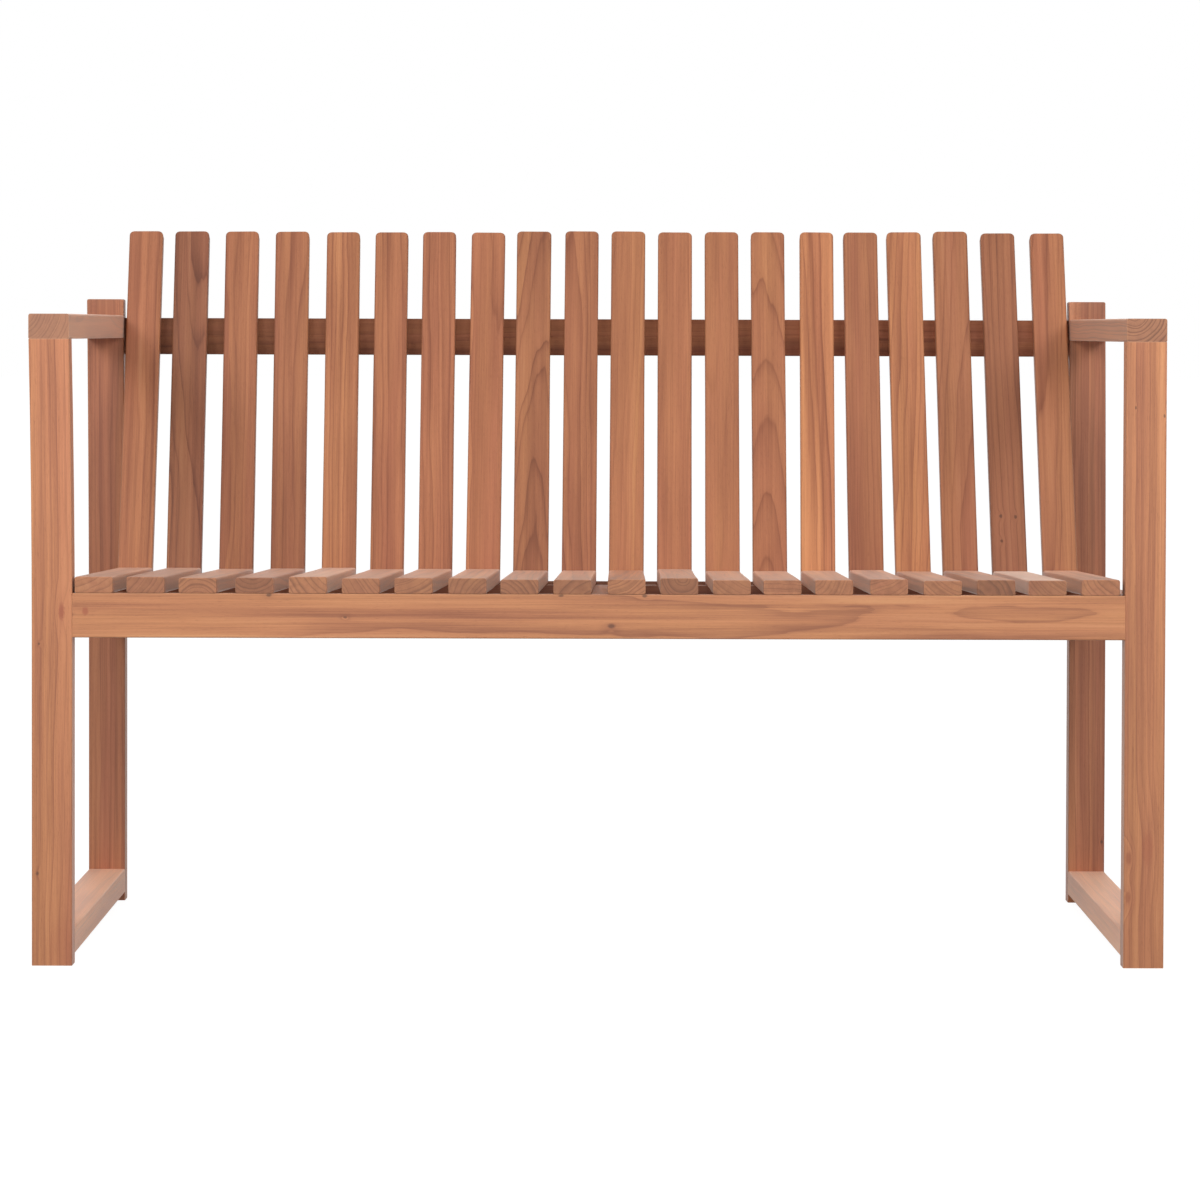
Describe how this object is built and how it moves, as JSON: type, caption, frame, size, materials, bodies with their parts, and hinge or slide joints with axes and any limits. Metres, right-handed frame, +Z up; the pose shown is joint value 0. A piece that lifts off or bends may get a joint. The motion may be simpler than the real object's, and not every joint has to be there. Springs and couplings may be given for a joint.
{
  "type": "garden bench",
  "caption": "Slatted hardwood garden bench with square armrests, a leaning slatted back and side frames joined by floor runners.",
  "frame": {"origin": "on the ground under the middle of the bench, at the centre of its bounding box's base", "axes": "+X along the bench to its right end as seen from the front, +Y from the front legs to the back, +Z up"},
  "size_m": [1.2646, 0.6206, 0.8341],
  "materials": {
    "teak_frame": "satin",
    "teak_slats": "satin",
    "screw_steel": "satin"
  },
  "bodies": {
    "root": {"front_leg_left": "teak_frame", "front_leg_right": "teak_frame", "rear_leg_left": "teak_frame", "rear_leg_right": "teak_frame", "armrest_left": "teak_frame", "armrest_right": "teak_frame", "floor_runner_left": "teak_frame", "floor_runner_right": "teak_frame", "side_rail_left": "teak_frame", "side_rail_right": "teak_frame", "front_rail": "teak_frame", "rear_rail": "teak_frame", "centre_bearer": "teak_frame", "upper_back_rail": "teak_frame", "lower_back_rail": "teak_frame", "seat_slat_01": "teak_slats", "seat_slat_02": "teak_slats", "seat_slat_03": "teak_slats", "seat_slat_04": "teak_slats", "seat_slat_05": "teak_slats", "seat_slat_06": "teak_slats", "seat_slat_07": "teak_slats", "seat_slat_08": "teak_slats", "seat_slat_09": "teak_slats", "seat_slat_10": "teak_slats", "seat_slat_11": "teak_slats", "seat_slat_12": "teak_slats", "seat_slat_13": "teak_slats", "seat_slat_14": "teak_slats", "seat_slat_15": "teak_slats", "seat_slat_16": "teak_slats", "seat_slat_17": "teak_slats", "seat_slat_18": "teak_slats", "seat_slat_19": "teak_slats", "seat_slat_20": "teak_slats", "back_slat_01": "teak_slats", "back_slat_02": "teak_slats", "back_slat_03": "teak_slats", "back_slat_04": "teak_slats", "back_slat_05": "teak_slats", "back_slat_06": "teak_slats", "back_slat_07": "teak_slats", "back_slat_08": "teak_slats", "back_slat_09": "teak_slats", "back_slat_10": "teak_slats", "back_slat_11": "teak_slats", "back_slat_12": "teak_slats", "back_slat_13": "teak_slats", "back_slat_14": "teak_slats", "back_slat_15": "teak_slats", "back_slat_16": "teak_slats", "back_slat_17": "teak_slats", "back_slat_18": "teak_slats", "back_slat_19": "teak_slats", "back_slat_20": "teak_slats", "seat_screws": "screw_steel", "back_screws": "screw_steel"}
  },
  "joints": []
}
